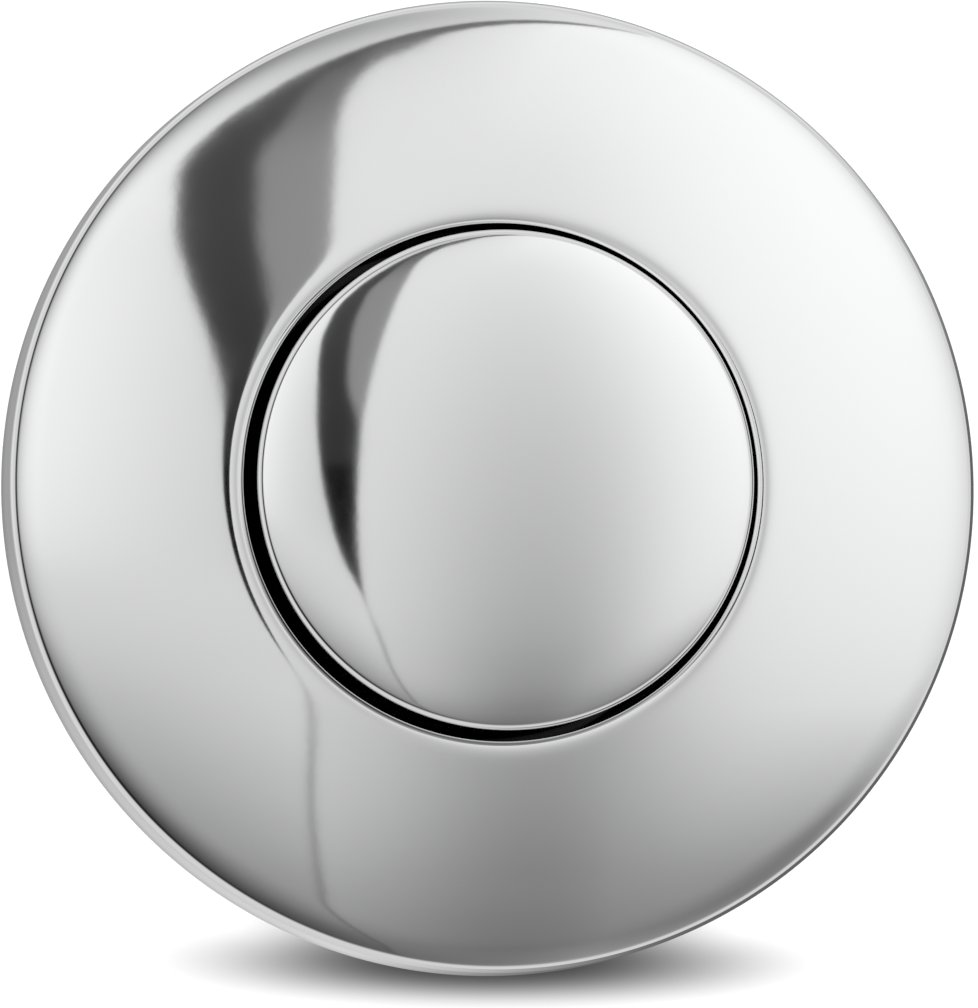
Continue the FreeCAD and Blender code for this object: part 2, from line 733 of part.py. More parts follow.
lock_nut = new_body("lock_nut")
nut_bore = f"({barrel_radius} + nut_play)"
nut_flat = f"({barrel_radius} + nut_wall)"
nut_corner = f"({nut_flat} / cos(30))"
nut_flange_radius = f"({barrel_radius} + nut_skirt)"
pad(lock_nut, "hexagon", hexagon(nut_flat), nut_under, "nut_height - nut_flange / 2")
spin(lock_nut, "flange", tube(nut_bore, nut_flange_radius, f"{nut_top} - nut_flange", nut_top))
spin(lock_nut, "corner_lead", [
    (nut_flat, nut_under),
    (f"{nut_corner} + nut_play", nut_under),
    (f"{nut_corner} + nut_play", f"{nut_under} + ({nut_corner} + nut_play - {nut_flat}) * tan(30)"),
], "Groove")
spin(lock_nut, "thread_hole", tube("0", nut_bore, nut_under, nut_top), "Groove")
soften(lock_nut, "thread_lead", "nut_lead", [(nut_bore, nut_under)])


# Every piece is checked before any is written

doc.recompute()
for item in doc.Objects:
    if "Invalid" in item.State or "Error" in item.State:
        raise RuntimeError(f"{item.Label} did not compute: {item.State}")
for body in PIECES:
    if body.Shape.isNull() or not body.Shape.isValid() or len(body.Shape.Solids) != 1:
        raise RuntimeError(f"{body.Label} is not one valid solid")

os.makedirs("parts", exist_ok=True)
for body in PIECES:
    body.Shape.exportStep(f"parts/{body.Label}.step")
    box = body.Shape.optimalBoundingBox()
    print(f"{body.Label}: {body.Shape.Volume:.1f} mm3, radius {box.XMax:.2f}, {box.ZMin:.2f} to {box.ZMax:.2f}")
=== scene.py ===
import bmesh
import bpy
import numpy as np
from mathutils import Matrix, Vector


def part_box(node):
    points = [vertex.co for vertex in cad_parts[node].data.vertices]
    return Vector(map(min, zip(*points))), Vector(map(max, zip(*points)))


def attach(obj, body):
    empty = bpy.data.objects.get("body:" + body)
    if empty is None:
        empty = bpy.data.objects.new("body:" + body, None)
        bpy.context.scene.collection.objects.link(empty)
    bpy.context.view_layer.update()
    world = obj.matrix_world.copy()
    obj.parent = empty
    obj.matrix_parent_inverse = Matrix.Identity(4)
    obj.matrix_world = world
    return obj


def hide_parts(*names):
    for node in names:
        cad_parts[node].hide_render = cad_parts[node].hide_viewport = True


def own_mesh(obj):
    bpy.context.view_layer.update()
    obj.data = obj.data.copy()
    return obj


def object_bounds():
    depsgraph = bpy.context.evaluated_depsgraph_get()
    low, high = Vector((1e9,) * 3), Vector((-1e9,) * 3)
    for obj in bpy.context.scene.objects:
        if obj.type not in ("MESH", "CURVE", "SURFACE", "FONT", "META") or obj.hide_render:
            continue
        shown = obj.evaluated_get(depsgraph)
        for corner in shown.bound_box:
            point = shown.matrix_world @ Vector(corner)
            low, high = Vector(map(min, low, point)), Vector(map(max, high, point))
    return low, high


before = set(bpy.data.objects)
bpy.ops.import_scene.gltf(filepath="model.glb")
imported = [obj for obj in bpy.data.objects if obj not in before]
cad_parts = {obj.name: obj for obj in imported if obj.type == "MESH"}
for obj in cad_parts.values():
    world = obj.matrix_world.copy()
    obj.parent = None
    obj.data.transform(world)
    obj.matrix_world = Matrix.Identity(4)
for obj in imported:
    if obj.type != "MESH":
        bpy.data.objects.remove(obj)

cad_low, cad_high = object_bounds()

# Housing: one black glass-filled moulding. Its flange lies under the escutcheon, and its barrel,
# threaded for the lock nut, goes down through the hole in the sink top. The web across the barrel
# carries the guide bush.
MM = 0.001


def soften(corners, ease, steps=5):
    """Rounds the corners of a closed outline. Each corner gives way to the quadratic curve that
    starts and ends `ease` away from it, on its two sides, with the corner as its middle point."""
    corner = np.array(corners, float)
    ease = np.broadcast_to(np.array(ease, float), len(corner))[:, None]
    before = np.roll(corner, 1, axis=0) - corner
    after = np.roll(corner, -1, axis=0) - corner
    start = corner + ease * before / np.linalg.norm(before, axis=1, keepdims=True)
    end = corner + ease * after / np.linalg.norm(after, axis=1, keepdims=True)
    t = np.linspace(0, 1, steps)[None, :, None]
    curve = (1 - t) ** 2 * start[:, None] + 2 * t * (1 - t) * corner[:, None] + t ** 2 * end[:, None]
    return curve.reshape(-1, 2)


def grid_mesh(name, points, crease=40, looped=True):
    """A mesh from a grid of points whose columns close on themselves, and its rows too if looped.
    Neighbours in the grid make the faces, points that meet become one, and edges sharper than
    `crease` degrees stay crisp."""
    rows, columns = points.shape[:2]
    row = np.arange(rows)[:, None] * columns
    column = np.arange(columns)[None, :]
    next_row, next_column = np.roll(row, -1, axis=0), np.roll(column, -1, axis=1)
    faces = np.stack([row + column, row + next_column, next_row + next_column, next_row + column], -1)
    if not looped:
        faces = faces[:-1]
    mesh = bpy.data.meshes.new(name)
    mesh.from_pydata((points.reshape(-1, 3) * MM).tolist(), [], faces.reshape(-1, 4).tolist())
    skin = bmesh.new()
    skin.from_mesh(mesh)
    bmesh.ops.remove_doubles(skin, verts=skin.verts, dist=1e-7)
    bare = [edge for edge in skin.edges if not edge.link_faces]
    bmesh.ops.delete(skin, geom=bare, context="EDGES")
    bmesh.ops.recalc_face_normals(skin, faces=skin.faces)
    skin.to_mesh(mesh)
    skin.free()
    mesh.shade_smooth()
    mesh.set_sharp_from_angle(angle=np.radians(crease))
    return mesh


def turned(name, outline, around=160, shape=None):
    """A closed outline of (radius, height) points turned about Z: x and y are the radius times the
    cosine and sine of each angle. `shape` may change the radii, from radius, height and angle."""
    angle = np.linspace(0, 2 * np.pi, around, endpoint=False)[None, :]
    radius = np.repeat(outline[:, :1], around, axis=1)
    height = np.repeat(outline[:, 1:], around, axis=1)
    if shape is not None:
        radius = shape(radius, height, angle)
    return grid_mesh(name, np.stack([radius * np.cos(angle), radius * np.sin(angle), height], -1))


def place(name, mesh, body, node, slot, material):
    """Puts a finished piece on its body, in the stead of its CAD node."""
    piece = bpy.data.objects.new(name, mesh)
    bpy.context.scene.collection.objects.link(piece)
    piece.data.materials.clear()
    piece.data.materials.append(material)
    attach(piece, body)
    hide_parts(node)
    return piece


def dress(material, slot, *nodes):
    """Gives CAD nodes that keep their own shape a finish."""
    for node in nodes:
        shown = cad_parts[node]
        shown.data.materials.clear()
        shown.data.materials.append(material)


def add(tree, kind, inputs=None, **settings):
    """A shader node, with its settings and with each input set to a number, a colour or a socket."""
    node = tree.nodes.new(kind)
    for name, setting in settings.items():
        setattr(node, name, setting)
    for name, source in (inputs or {}).items():
        if isinstance(source, bpy.types.NodeSocket):
            tree.links.new(source, node.inputs[name])
        else:
            node.inputs[name].default_value = source
    return node


def finish(name, **sockets):
    """A material whose shader has the given sockets set, its tree, and its object coordinates."""
    material = bpy.data.materials.new(name)
    material.use_nodes = True
    tree = material.node_tree
    shader = tree.nodes["Principled BSDF"]
    for socket, amount in sockets.items():
        shader.inputs[socket.replace("_", " ")].default_value = amount
    place_in_piece = add(tree, "ShaderNodeTexCoord").outputs["Object"]
    return material, tree, shader, place_in_piece


def vary(tree, socket, pattern, low, high):
    """Lets a pattern of 0 to 1 move a shader's socket between two amounts."""
    spread = add(tree, "ShaderNodeMapRange", {"Value": pattern, "To Min": low, "To Max": high})
    tree.links.new(spread.outputs["Result"], socket)


def mixed(tree, pattern, dark, light):
    """A colour that goes from one to another as a pattern goes from 0 to 1."""
    return add(tree, "ShaderNodeMix", {0: pattern, 6: dark, 7: light}, data_type="RGBA").outputs[2]


def tint(tree, socket, pattern, dark, light):
    """Lets a pattern of 0 to 1 move a shader's colour between two colours."""
    tree.links.new(mixed(tree, pattern, (*dark, 1), (*light, 1)), socket)


def noise(tree, where, scale, detail=2.0, rough=0.5):
    """A cloudy pattern of 0 to 1 in a piece, finer with its scale."""
    return add(tree, "ShaderNodeTexNoise", {
        "Vector": where, "Scale": scale, "Detail": detail, "Roughness": rough}).outputs["Fac"]


def raise_by(tree, shader, pattern, depth, strength=1.0):
    """Lets a pattern stand out from a surface by a depth in metres."""
    bump = add(tree, "ShaderNodeBump", {"Height": pattern, "Distance": depth, "Strength": strength})
    tree.links.new(bump.outputs["Normal"], shader.inputs["Normal"])


black_moulding, tree, shader, where = finish("black_moulding", Roughness=0.42, Specular_IOR_Level=0.5)
cloudy = noise(tree, where, 140.0, 3.0)
tint(tree, shader.inputs["Base Color"], cloudy, (0.018, 0.018, 0.019), (0.034, 0.034, 0.036))
vary(tree, shader.inputs["Roughness"], noise(tree, where, 900.0, 4.0), 0.34, 0.52)
raise_by(tree, shader, noise(tree, where, 5200.0, 2.0), 0.00003, 0.6)

flange_radius, flange_edge_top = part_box("housing")[1].x / MM, 3.19
housing_top, barrel_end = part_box("housing")[1].z / MM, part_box("housing")[0].z / MM
gasket_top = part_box("deck_gasket")[1].z / MM
barrel_radius, barrel_bore, lower_bore = 14.25, 12.75, 11.8
collar_radius, collar_bore, neck_seat = 16.4, 14.0, 2.4
web_top, web_under, web_hole = -8.0, -10.0, 6.5
bellows_step = -33.0
barrel_lead, mould_ease = 0.8, 0.12
thread_pitch, thread_depth, thread_crest, thread_stop, thread_fade = 2.0, 0.85, 0.5, -2.6, 0.12
rows_apart, under_gasket_top = 0.125, 0.2
barrel_rows = np.arange(barrel_end + barrel_lead, gasket_top - under_gasket_top, rows_apart)
barrel_face = np.column_stack([np.full(len(barrel_rows), barrel_radius), barrel_rows])
housing_body = soften([
    (flange_radius, gasket_top), (flange_radius, flange_edge_top), (collar_radius, housing_top),
    (collar_bore, housing_top), (collar_bore, neck_seat), (barrel_bore, neck_seat),
    (barrel_bore, web_top), (web_hole, web_top), (web_hole, web_under), (lower_bore, web_under),
    (lower_bore, bellows_step), (barrel_bore, bellows_step), (barrel_bore, barrel_end),
    (barrel_radius - barrel_lead, barrel_end),
], mould_ease)


def cut_thread(radius, height, angle):
    """The barrel's outside with its thread, a groove with 60 degree flanks and a flat root. A point
    lies on the groove's turn whose middle is nearest to it in height. Its depth is the distance
    from the groove's edge over the flank's slope, held between none and full, and in its last
    share of a turn the groove runs out."""
    turns_below_end = (thread_stop - height) / thread_pitch + angle / (2 * np.pi)
    from_middle = np.abs(turns_below_end - np.round(turns_below_end)) * thread_pitch
    depth = ((thread_pitch - thread_crest) / 2 - from_middle) / np.tan(np.pi / 6)
    left = np.round(turns_below_end) - angle / (2 * np.pi)
    run_out = np.clip(left / thread_fade, 0, 1)
    on_barrel = np.abs(radius - barrel_radius) < 1e-6
    return np.where(on_barrel, radius - np.clip(depth, 0, thread_depth) * run_out, radius)


place("housing_moulding",
      turned("housing_moulding", np.vstack([barrel_face, housing_body]), 180, cut_thread),
      "housing", "housing", "black_moulding", black_moulding)

# Rubber: a soft washer lies between the flange and the sink top, and square-cut rings sit in the
# grooves round the escutcheon's neck, the button's insert and the plug. All are black nitrile.
black_rubber, tree, shader, where = finish("black_rubber", Specular_IOR_Level=0.35)
bloom = noise(tree, where, 260.0, 5.0, 0.62)
tint(tree, shader.inputs["Base Color"], bloom, (0.022, 0.022, 0.023), (0.052, 0.052, 0.055))
vary(tree, shader.inputs["Roughness"], bloom, 0.62, 0.86)
raise_by(tree, shader, noise(tree, where, 3800.0, 3.0), 0.00004, 0.7)

washer_gap = 0.35


def ring_outline(node, inner, ease):
    """The rounded section of a flat ring, from its CAD node's outer radius and heights."""
    low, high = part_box(node)
    outer, under, top = high.x / MM, low.z / MM, high.z / MM
    return soften([(inner, under), (outer, under), (outer, top), (inner, top)], ease)


place("deck_gasket_ring",
      turned("deck_gasket_ring", ring_outline("deck_gasket", barrel_radius + washer_gap, 0.35)),
      "housing", "deck_gasket", "black_rubber", black_rubber)
dress(black_rubber, "black_rubber",
      "escutcheon_ring", "cap_ring", "end_cap_ring", "stop_washer", "barb_seal")

# Escutcheon: pressed from brass sheet, with a domed face, a turned-down wall and a lip rolled in to
# a neck, then polished and chrome plated. Its neck pushes into the housing's collar.
face_radius, face_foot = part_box("escutcheon")[1].x / MM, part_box("escutcheon")[0].z / MM
lip_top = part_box("escutcheon")[1].z / MM
dome_radius, shell, face_round = 80.0, 1.2, 0.6
lip_radius, lip_blend = 13.3, 5.0
lip_crest, lip_shoulder, lip_roll, shoulder_reach = 13.2, 0.24, 0.14, 1.2
edge_start, edge_width, edge_drop = 22.2, 1.4, 0.05
escutcheon_bore, neck_radius, neck_foot, foot_lead = 12.75, 13.9, 2.4, 0.25
dome_centre = lip_top - lip_blend - np.sqrt((dome_radius - lip_blend) ** 2 - lip_radius ** 2)


def arc(centre, radius, first, last, steps):
    """Points on a circle, at even angles in degrees from first to last."""
    angle = np.radians(np.linspace(first, last, steps))
    return np.column_stack([centre[0] + radius * np.cos(angle), centre[1] + radius * np.sin(angle)])


def dome_slope(across):
    """How steeply the sphere falls, and past edge_start the drawn edge with it, as a square."""
    past = np.clip((across - edge_start) / edge_width, 0, None)
    return across / np.sqrt(dome_radius ** 2 - across ** 2) + 3 * edge_drop / edge_width * past ** 2


def face_height(across):
    """The sphere, less a shoulder at the lip that dies away as an exponential and leaves the crest
    level, less a cubic that turns the face down to its edge."""
    sphere = dome_centre + np.sqrt(dome_radius ** 2 - across ** 2)
    shoulder = dome_slope(lip_crest) * lip_shoulder * np.exp((lip_crest - across) / lip_shoulder)
    return sphere - shoulder - edge_drop * np.clip((across - edge_start) / edge_width, 0, None) ** 3


# The edge's rounding starts where the face is as steep as it is.
edge_middle = face_radius - face_round
edge_across = edge_middle
for _ in range(12):
    edge_fall = np.arctan(dome_slope(edge_across))
    edge_across = edge_middle + face_round * np.sin(edge_fall)
edge_centre = (edge_middle, face_height(edge_across) - face_round * np.cos(edge_fall))
shoulder_end = lip_crest + shoulder_reach
face_across = np.concatenate([
    np.linspace(edge_across, edge_start, 24), np.linspace(edge_start, shoulder_end, 60)[1:],
    np.linspace(shoulder_end, lip_crest, 24)[1:]])
roll_turn = np.radians(np.linspace(0, 90, 16))[1:]
lip_width = lip_crest - escutcheon_bore
under_across = np.linspace(neck_radius, face_radius - shell, 16)
face_outline = np.vstack([
    arc(edge_centre, face_round, 0, 90 - np.degrees(edge_fall), 18)[:-1],
    np.column_stack([face_across, face_height(face_across)]),
    np.column_stack([lip_crest - lip_width * np.sin(roll_turn),
                     face_height(lip_crest) - lip_roll * (1 - np.cos(roll_turn))]),
    [(escutcheon_bore, neck_foot), (neck_radius - foot_lead, neck_foot),
     (neck_radius, neck_foot + foot_lead)],
    np.column_stack([under_across, dome_centre + np.sqrt((dome_radius - shell) ** 2 - under_across ** 2)]),
    [(face_radius - shell, face_foot), (face_radius - foot_lead, face_foot),
     (face_radius, face_foot + foot_lead)],
])

chrome, tree, shader, where = finish("polished_chrome", Metallic=1.0)
haze = noise(tree, where, 60.0, 3.0)
plate = mixed(tree, haze, (0.850, 0.852, 0.855, 1), (0.870, 0.872, 0.875, 1))
# Painted shade: the chrome's colour darkens towards the wall's foot, where it stands on the sink top, in
# place of the contact shade and dark reflection there.
painted_foot_shade, foot_shade_low, foot_shade_high = 0.45, 0.0002, 0.0024
foot_shade_factor = add(tree, "ShaderNodeMapRange", {
    "Value": add(tree, "ShaderNodeSeparateXYZ", {"Vector": where}).outputs["Z"],
    "From Min": foot_shade_low, "From Max": foot_shade_high, "To Min": painted_foot_shade},
    interpolation_type="SMOOTHSTEP").outputs["Result"]
tree.links.new(mixed(tree, foot_shade_factor, (0, 0, 0, 1), plate), shader.inputs["Base Color"])
vary(tree, shader.inputs["Roughness"], noise(tree, where, 420.0, 5.0), 0.045, 0.075)
raise_by(tree, shader, noise(tree, where, 1500.0, 3.0), 0.000002, 0.25)

place("escutcheon_face", turned("escutcheon_face", face_outline, 480),
      "housing", "escutcheon", "polished_chrome", chrome)

# Button cap: drawn from the same sheet and plated the same way. Its crown is part of an ellipse
# turned about the axis, and its skirt slides in the housing's bore.
cap_radius, cap_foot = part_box("button_cap")[1].x / MM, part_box("button_cap")[0].z / MM
crown_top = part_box("button_cap")[1].z / MM
crown_reach, crown_rise, cap_round = 14.0, 2.58, 0.4
cap_wall, cap_crown = 0.9, 1.1
crown_middle = crown_top - crown_rise


def crown_height(across):
    """Height of the crown's ellipse at a distance from the axis."""
    return crown_middle + crown_rise * np.sqrt(1 - np.square(across / crown_reach))


def crown_slope(across):
    """How steeply the crown falls at a distance from the axis."""
    return crown_rise * across / (crown_reach ** 2 * np.sqrt(1 - np.square(across / crown_reach)))


# The edge's rounding touches the skirt and the crown: its centre lies one rounding below the crown,
# square to its slope, and one rounding inside the skirt.
touch = cap_radius - cap_round
for _ in range(12):
    fall = np.arctan(crown_slope(touch))
    touch = cap_radius - cap_round + cap_round * np.sin(fall)
round_centre = (cap_radius - cap_round, crown_height(touch) - cap_round * np.cos(fall))
crown_across = np.linspace(touch, 0, 120)
cap_edge = crown_height(cap_radius)
cap_outline = np.vstack([
    arc(round_centre, cap_round, 0, 90 - np.degrees(fall), 16)[:-1],
    np.column_stack([crown_across, crown_height(crown_across)]),
    [(0, crown_top - cap_crown), (cap_radius - cap_wall, cap_edge - cap_crown),
     (cap_radius - cap_wall, cap_foot), (cap_radius, cap_foot)],
])
place("button_cap_shell", turned("button_cap_shell", cap_outline, 480),
      "button", "button_cap", "polished_chrome", chrome)

# Acetal: the button's insert with its cross-shaped stem, the bush that guides it, the cup that
# pushes the bellows and the slip washer are white moulded acetal, slick and faintly cloudy.
white_acetal, tree, shader, where = finish(
    "white_acetal", Roughness=0.35, Subsurface_Weight=0.15, Subsurface_Scale=0.001)
tint(tree, shader.inputs["Base Color"], noise(tree, where, 180.0, 3.0),
     (0.76, 0.76, 0.73), (0.84, 0.84, 0.82))
vary(tree, shader.inputs["Roughness"], noise(tree, where, 700.0, 3.0), 0.28, 0.42)
raise_by(tree, shader, noise(tree, where, 2600.0, 2.0), 0.00002, 0.4)
dress(white_acetal, "white_acetal", "plunger", "guide_bush", "thrust_cup")

# Return spring and retaining clip: stainless wire wound cold between the bush and the insert, with
# dead coils at its ends, and a stamped clip in the stem's groove.
spring_steel, tree, shader, where = finish("spring_steel", Metallic=1.0)
drawn = add(tree, "ShaderNodeMapping", {"Vector": where, "Scale": (1.0, 1.0, 6.0)})
lines = noise(tree, drawn.outputs["Vector"], 1100.0, 4.0)
tint(tree, shader.inputs["Base Color"], lines, (0.48, 0.48, 0.49), (0.62, 0.62, 0.63))
vary(tree, shader.inputs["Roughness"], lines, 0.18, 0.34)

wire_radius, coil_radius, coil_turns, dead_turns = 0.5, 6.5, 5.5, 0.75
coil_foot, coil_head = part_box("return_spring")[0].z / MM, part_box("return_spring")[1].z / MM


def wound(name, turn, height, radius, wire, sides=16):
    """Round wire along a coil. Each ring of points lies round the coil's line: outwards by the
    cosine, and square to both that and the line's direction by the sine. The ends are flat."""
    angle = 2 * np.pi * turn
    out = np.stack([np.cos(angle), np.sin(angle), np.zeros_like(angle)], -1)
    line = radius * out + np.stack([np.zeros_like(angle), np.zeros_like(angle), height], -1)
    along = np.gradient(line, axis=0)
    side = np.cross(along / np.linalg.norm(along, axis=1, keepdims=True), out)
    line, out, side = (np.pad(part, ((1, 1), (0, 0)), mode="edge")[:, None] for part in (line, out, side))
    girth = np.full((len(turn) + 2, 1, 1), wire)
    girth[[0, -1]] = 0
    ring = np.linspace(0, 2 * np.pi, sides, endpoint=False)[None, :, None]
    return grid_mesh(name, line + girth * (np.cos(ring) * out + np.sin(ring) * side), looped=False)


# The dead coils at both ends climb one wire's thickness in a turn, and the coils between share the rest.
turn = np.linspace(0, coil_turns, 360)
dead_rise = 2 * wire_radius * dead_turns
open_rise = coil_head - coil_foot - 2 * wire_radius - 2 * dead_rise
coil_height = coil_foot + wire_radius + np.interp(
    turn, [0, dead_turns, coil_turns - dead_turns, coil_turns],
    [0, dead_rise, dead_rise + open_rise, 2 * dead_rise + open_rise])
spring = place("return_spring_wire",
               wound("return_spring_wire", turn, coil_height, coil_radius, wire_radius),
               "housing", "return_spring", "spring_steel", spring_steel)
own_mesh(spring)
dress(spring_steel, "spring_steel", "retaining_clip")

# Bellows: moulded nitrile, closed on top and open at its foot, with four soft folds. The clamping
# ring holds its foot between the barrel's step and the plug.
bellows_foot, bellows_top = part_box("bellows")[0].z / MM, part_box("bellows")[1].z / MM
bellows_wall, bellows_rim = 0.8, 12.65
fold_count, fold_pitch, fold_crest, fold_root = 4, 4.0, 10.2, 7.8
fold_height = np.linspace(0, fold_count * fold_pitch, fold_count * 24 + 1)
fold_wave = np.sin(np.pi * fold_height / fold_pitch) ** 2
fold_outside = fold_root + (fold_crest - fold_root) * fold_wave
outer_wall = np.column_stack([fold_outside, bellows_top - fold_height])
inner_wall = np.column_stack([fold_outside - bellows_wall, bellows_top - fold_height])[::-1]
inner_wall = inner_wall[inner_wall[:, 1] < bellows_top - bellows_wall]
bellows_outline = np.vstack([
    [(0, bellows_top)], outer_wall,
    [(bellows_rim, bellows_foot + bellows_wall), (bellows_rim, bellows_foot),
     (fold_root - bellows_wall, bellows_foot)],
    inner_wall, [(0, bellows_top - bellows_wall)],
])
bellows = place("bellows_moulding", turned("bellows_moulding", bellows_outline, 120),
                "housing", "bellows", "black_rubber", black_rubber)
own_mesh(bellows)
dress(black_moulding, "black_moulding", "bellows_ring")

# End cap: a moulded plug glued in the barrel's lower end, with a cored underside, six ribs and a
# hub for the barb. Its edges are eased as a mould leaves them.
plug_ease = 0.15


def whole(name, node):
    """A copy of a CAD solid whose loose triangles are joined, and its flat faces made whole."""
    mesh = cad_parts[node].data.copy()
    mesh.name = name
    skin = bmesh.new()
    skin.from_mesh(mesh)
    bmesh.ops.remove_doubles(skin, verts=skin.verts, dist=1e-7)
    bmesh.ops.dissolve_limit(skin, angle_limit=np.radians(0.5), verts=skin.verts, edges=skin.edges)
    skin.to_mesh(mesh)
    skin.free()
    mesh.shade_smooth()
    mesh.set_sharp_from_angle(angle=np.radians(30))
    return mesh


def bevel(piece, ease):
    """Rounds a piece's sharp edges."""
    edge = piece.modifiers.new("eased_edges", "BEVEL")
    edge.width = ease * MM
    edge.segments = 3
    edge.limit_method = "ANGLE"
    edge.angle_limit = np.radians(35)
    edge.harden_normals = True


plug = place("end_cap_plug", whole("end_cap_plug", "end_cap"),
             "housing", "end_cap", "black_moulding", black_moulding)
bevel(plug, plug_ease)

# Hose barb: turned from hexagon brass bar, with three barbs that hold the air tube. The shank is
# screwed and glued into the plug's hub, and a rubber washer seals under the hexagon.
turned_brass, tree, shader, where = finish("turned_brass", Metallic=1.0)
cutting = add(tree, "ShaderNodeTexWave", {
    "Vector": where, "Scale": 2200.0, "Distortion": 1.5, "Detail": 2.0},
    bands_direction="Z").outputs["Fac"]
tint(tree, shader.inputs["Base Color"], noise(tree, where, 300.0, 4.0),
     (0.66, 0.46, 0.19), (0.80, 0.60, 0.29))
vary(tree, shader.inputs["Roughness"], noise(tree, where, 500.0, 4.0), 0.2, 0.36)
raise_by(tree, shader, cutting, 0.00001, 0.3)

barb_bore, barb_stem, barb_crest, barb_shank = 0.9, 1.6, 2.15, 2.45
barb_tip, shank_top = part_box("hose_barb")[0].z / MM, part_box("hose_barb")[1].z / MM
barb_pitch, barb_count, barb_neck = 2.8, 3, 2.4
hex_flat, hex_height, hex_slack = 4.0, 2.2, 0.01
stem_top = barb_tip + barb_pitch * barb_count
hex_under, hex_top = stem_top + barb_neck, stem_top + barb_neck + hex_height
barb_foot = barb_tip + barb_pitch * np.arange(barb_count)
barb_steps = np.column_stack([
    np.full(barb_count, barb_stem), barb_foot, np.full(barb_count, barb_crest), barb_foot + barb_pitch])
hex_corner = hex_flat / np.cos(np.pi / 6)
barb_outline = soften(np.vstack([
    [(barb_bore, barb_tip)], barb_steps.reshape(-1, 2),
    [(barb_stem, stem_top), (barb_stem, hex_under), (hex_flat, hex_under),
     (hex_corner, hex_under + (hex_corner - hex_flat) * np.tan(np.pi / 6)), (hex_corner, hex_top),
     (barb_shank, hex_top), (barb_shank, shank_top), (barb_bore, shank_top)],
]), 0.08)


def hexagonal(flat, low, high, ease=0.15):
    """A function that holds radii at some heights inside a hexagon with its corners on X: a flat's
    distance over the cosine of the angle from its middle, with corners rounded by `ease`."""
    def hold(radius, height, angle):
        turn_from_flat = (angle % (np.pi / 3)) - np.pi / 6
        side = flat / np.cos(turn_from_flat)
        side = np.minimum(side, flat / np.cos(np.pi / 6) - ease)
        on_hexagon = (height > low) & (height < high)
        return np.where(on_hexagon, np.minimum(radius, side), radius)
    return hold


place("hose_barb_turned",
      turned("hose_barb_turned", barb_outline, 96,
             hexagonal(hex_flat, hex_under - hex_slack, hex_top + hex_slack)),
      "housing", "hose_barb", "turned_brass", turned_brass)

# Clamp washers: rubber against the sink top's underside, and slick acetal for the nut to turn on.
place("clamp_washer_ring",
      turned("clamp_washer_ring", ring_outline("clamp_washer", barrel_radius + washer_gap, 0.3)),
      "clamp_washers", "clamp_washer", "black_rubber", black_rubber)
place("slip_washer_ring",
      turned("slip_washer_ring", ring_outline("slip_washer", barrel_radius + washer_gap, 0.2)),
      "clamp_washers", "slip_washer", "white_acetal", white_acetal)

# Lock nut: moulded, with a round flange on top, a hexagon for a spanner, and the barrel's thread
# through it. Turned up the barrel, it clamps the sink top against the gasket.
nut_under, nut_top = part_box("lock_nut")[0].z / MM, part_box("lock_nut")[1].z / MM
nut_flange_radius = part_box("lock_nut")[1].x / MM
nut_flange, nut_flat, nut_bore, nut_lead, nut_corner_ease = 2.0, 16.25, 14.35, 0.7, 0.3
nut_corner = nut_flat / np.cos(np.pi / 6)
nut_outline = soften([
    (nut_bore + nut_lead, nut_under), (nut_flat, nut_under),
    (nut_corner, nut_under + (nut_corner - nut_flat) * np.tan(np.pi / 6)),
    (nut_corner, nut_top - nut_flange), (nut_flange_radius, nut_top - nut_flange),
    (nut_flange_radius, nut_top), (nut_bore, nut_top), (nut_bore, nut_under + nut_lead),
], [0.2, 0.2, 0.2, 0.01, 0.04, 0.2, 0.2, 0.2])
place("lock_nut_moulding",
      turned("lock_nut_moulding", nut_outline, 288,
             hexagonal(nut_flat, nut_under - hex_slack, nut_top - nut_flange - hex_slack, nut_corner_ease)),
      "nut", "lock_nut", "black_moulding", black_moulding)

# Camera: square on to the face but for nine degrees, from the left and a little below, as far away
# as a studio lens stands.
photo_width, photo_height = 978, 1008
photo_scale, sensor_width = 20.27, 36.0
tilt, heading = np.radians(9.0), np.radians(26.0)
to_camera = -Vector((np.sin(tilt) * np.cos(heading), np.sin(tilt) * np.sin(heading), -np.cos(tilt)))
image_right = (-to_camera).cross(Vector((0, 1, 0))).normalized()
image_up = image_right.cross(-to_camera)
face_middle = Vector((0, 0, 1.9))
face_pixel = (487.7, 488.6)
off_centre = (face_pixel[0] - photo_width / 2, photo_height / 2 - face_pixel[1])
aim = (face_middle - image_right * off_centre[0] / photo_scale
       - image_up * off_centre[1] / photo_scale) * MM
distance = 1.0
camera = bpy.data.objects.new("camera", bpy.data.cameras.new("camera"))
bpy.context.scene.collection.objects.link(camera)
camera.location = aim + to_camera * distance
camera.rotation_euler = Matrix((image_right, image_up, to_camera)).transposed().to_euler()
camera.data.sensor_width = sensor_width
camera.data.lens = sensor_width * distance / (photo_height / photo_scale * MM)
camera.data.clip_end = 20.0
bpy.context.scene.camera = camera

# Studio: a light tent with a tall soft box on each side of the camera and a dark gap between them.
# It is laid out by the two slopes that a mirror would need to show it in the camera: p, to the
# right, and q, up. The object's chrome sees this studio, and everything else an even grey.
world = bpy.data.worlds.new("studio")
bpy.context.scene.world = world
world.use_nodes = True
tree = world.node_tree
tree.nodes.clear()


def calc(operation, *terms):
    """One sum on sockets and numbers."""
    return add(tree, "ShaderNodeMath", dict(enumerate(terms)), operation=operation).outputs["Value"]


def step(edge, place, soft):
    """0 before an edge and 1 past it, turning smoothly over a width."""
    past = calc("SUBTRACT", place, edge)
    return add(tree, "ShaderNodeMapRange", {"Value": past, "From Min": -soft / 2, "From Max": soft / 2},
               interpolation_type="SMOOTHSTEP").outputs["Result"]


def blend_to(mask, low, high):
    """low where the mask is 0 and high where it is 1."""
    return add(tree, "ShaderNodeMix", {0: mask, 2: low, 3: high}).outputs[0]


